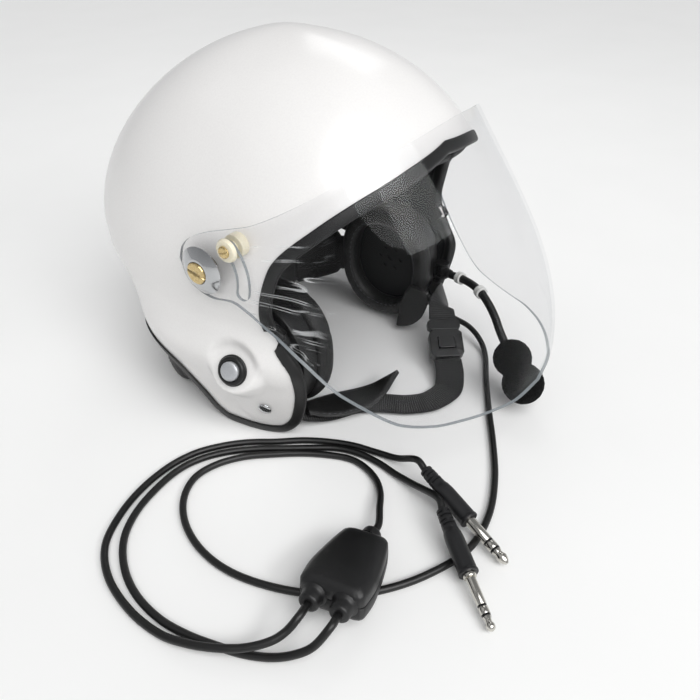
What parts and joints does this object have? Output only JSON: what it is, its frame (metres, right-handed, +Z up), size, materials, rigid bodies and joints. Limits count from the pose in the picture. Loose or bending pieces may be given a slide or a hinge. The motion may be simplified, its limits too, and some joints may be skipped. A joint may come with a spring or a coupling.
{
  "type": "open-face flying helmet",
  "caption": "White open-face flying helmet with swing-up clear visor, ear cups, boom microphone, push button, chin strap and a corded junction box with plugs.",
  "frame": {"origin": "on the table under the middle of the helmet, halfway between the pivot screw heads and halfway along the helmet and visor", "axes": "+X to the wearer's left, -Y forward through the visor, +Z up from the table"},
  "size_m": [0.3641, 0.3639, 0.2279],
  "materials": {
    "shell_white": "white clear-coated composite shell",
    "edge_rubber": "matt black rubber bead",
    "liner_foam": "charcoal expanded foam",
    "lining_fabric": "black quilted fabric",
    "leatherette": "black soft leatherette",
    "black_plastic": "fine-grained black plastic",
    "speaker_dark": "dark grey speaker basket and grille",
    "visor_clear": "clear gloss, under a thin protective film",
    "polished_steel": "polished",
    "brass": "bright brass",
    "zinc_steel": "zinc plated",
    "nylon": "cream nylon",
    "button_grey": "satin grey cap",
    "webbing": "black woven webbing",
    "clear_clip": "milky clear clip",
    "foam_black": "open-cell black foam",
    "cord_black": "black cord jacket",
    "box_plastic": "moulded black plastic",
    "board_green": "green circuit board",
    "grip_black": "moulded black grip",
    "plug_metal": "nickel plated",
    "band_black": "black insulating band"
  },
  "bodies": {
    "helmet": {"outer_shell": "shell_white", "edge_bead": "edge_rubber", "impact_liner": "liner_foam", "crown_lining": "lining_fabric", "brow_pad": "lining_fabric", "neck_roll": "leatherette", "right_ear_cup": "black_plastic", "left_ear_cup": "black_plastic", "right_ear_seal": "leatherette", "left_ear_seal": "leatherette", "right_speaker": "speaker_dark", "left_speaker": "speaker_dark", "pivot_spacers": "edge_rubber", "pivot_washers": "polished_steel", "pivot_screws": "brass", "pivot_nuts": "zinc_steel", "stop_spacers": "nylon", "stop_washers": "nylon", "stop_screws": "brass", "button_ring": "black_plastic", "button_switch": "black_plastic", "strap_rivets": "polished_steel", "right_strap": "webbing", "left_strap": "webbing", "right_strap_tab": "leatherette", "left_strap_tab": "leatherette", "buckle_housing": "black_plastic", "buckle_tongue": "black_plastic", "boom_bracket": "black_plastic", "cord_relief": "cord_black", "main_cord": "cord_black", "box_base": "box_plastic", "box_lid": "box_plastic", "box_board": "board_green", "box_glands": "cord_black", "phone_lead": "cord_black", "mic_lead": "cord_black", "phone_plug_grip": "grip_black", "phone_plug_sleeve": "plug_metal", "phone_plug_insulators": "band_black", "phone_plug_contacts": "plug_metal", "mic_plug_grip": "grip_black", "mic_plug_sleeve": "plug_metal", "mic_plug_insulators": "band_black", "mic_plug_contacts": "plug_metal"},
    "visor": {"visor": "visor_clear"},
    "button": {"button_cap": "button_grey"},
    "buckle_release": {"buckle_button": "black_plastic"},
    "boom": {"boom_knuckle": "black_plastic", "boom_stem": "black_plastic", "boom_rings": "clear_clip", "mic_capsule": "speaker_dark", "mic_muff": "foam_black"}
  },
  "joints": [
    {"name": "visor_hinge", "type": "hinge", "parent": "helmet", "child": "visor", "pos_m": [0, 0.007, 0.121], "axis": [-1, 0, 0], "range_deg": [0, 55]},
    {"name": "talk_button_press", "type": "slide", "parent": "helmet", "child": "button", "axis": [0.8851, 0.1561, -0.4384], "range_m": [0, 0.0015], "stiffness_N_per_m": 900, "springref_m": -0.0008},
    {"name": "buckle_release_press", "type": "slide", "parent": "helmet", "child": "buckle_release", "axis": [0.3699, 0.289, -0.883], "range_m": [0, 0.0015], "stiffness_N_per_m": 1200, "springref_m": -0.0008},
    {"name": "mic_boom_swing", "type": "hinge", "parent": "helmet", "child": "boom", "pos_m": [0.0844, -0.0475, 0.046], "axis": [0, 0, 1], "range_deg": [0, 8]}
  ]
}
